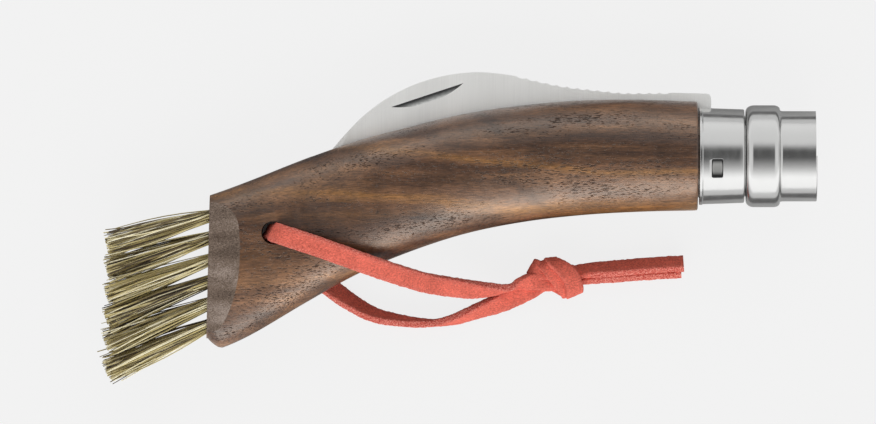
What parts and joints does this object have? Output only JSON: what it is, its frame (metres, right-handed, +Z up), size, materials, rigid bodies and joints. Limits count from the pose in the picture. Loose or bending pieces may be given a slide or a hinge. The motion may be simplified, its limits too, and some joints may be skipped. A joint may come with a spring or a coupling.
{
  "type": "folding mushroom knife",
  "caption": "Folding mushroom knife with a hooked, serrated-back blade, a bent wooden handle, a turning lock ring, a brush in the butt and a leather lace.",
  "frame": {"origin": "under the middle of the folded knife's box, without the lace, on the surface that it lies on", "axes": "+X from the brush to the collar, +Y from the handle's belly to the blade's spine, +Z up from the side that it lies on"},
  "size_m": [0.1432, 0.0614, 0.0225],
  "materials": {
    "walnut": "oiled, satin",
    "blade_steel": "satin, brushed across",
    "collar_steel": "polished",
    "bristle": "natural boar bristle",
    "anchor_wire": "bare wire",
    "suede": "suede, dull"
  },
  "bodies": {
    "handle": {"handle": "walnut", "fixed_ferrule": "collar_steel", "pivot_rivet": "collar_steel", "tuft_1": "bristle", "tuft_2": "bristle", "tuft_3": "bristle", "tuft_4": "bristle", "tuft_5": "bristle", "tuft_6": "bristle", "tuft_7": "bristle", "tuft_8": "bristle", "tuft_9": "bristle", "tuft_10": "bristle", "tuft_11": "bristle", "tuft_12": "bristle", "tuft_anchor_1": "anchor_wire", "tuft_anchor_2": "anchor_wire", "tuft_anchor_3": "anchor_wire", "tuft_anchor_4": "anchor_wire", "tuft_anchor_5": "anchor_wire", "tuft_anchor_6": "anchor_wire", "tuft_anchor_7": "anchor_wire", "tuft_anchor_8": "anchor_wire", "tuft_anchor_9": "anchor_wire", "tuft_anchor_10": "anchor_wire", "tuft_anchor_11": "anchor_wire", "tuft_anchor_12": "anchor_wire", "lace_front": "suede", "lace_back": "suede", "lace_knot": "suede", "lace_tail_upper": "suede", "lace_tail_lower": "suede"},
    "blade": {"blade": "blade_steel"},
    "lock_ring": {"lock_ring": "collar_steel"}
  },
  "joints": [
    {"name": "blade_hinge", "type": "hinge", "parent": "handle", "child": "blade", "pos_m": [0.06122, 0.01398, 0.01075], "axis": [0, 0, -1], "range_deg": [0, 180]},
    {"name": "lock_ring_turn", "type": "hinge", "parent": "handle", "child": "lock_ring", "pos_m": [0.06122, 0.01398, 0.01075], "axis": [1, 0, 0], "range_deg": [0, 75]}
  ]
}
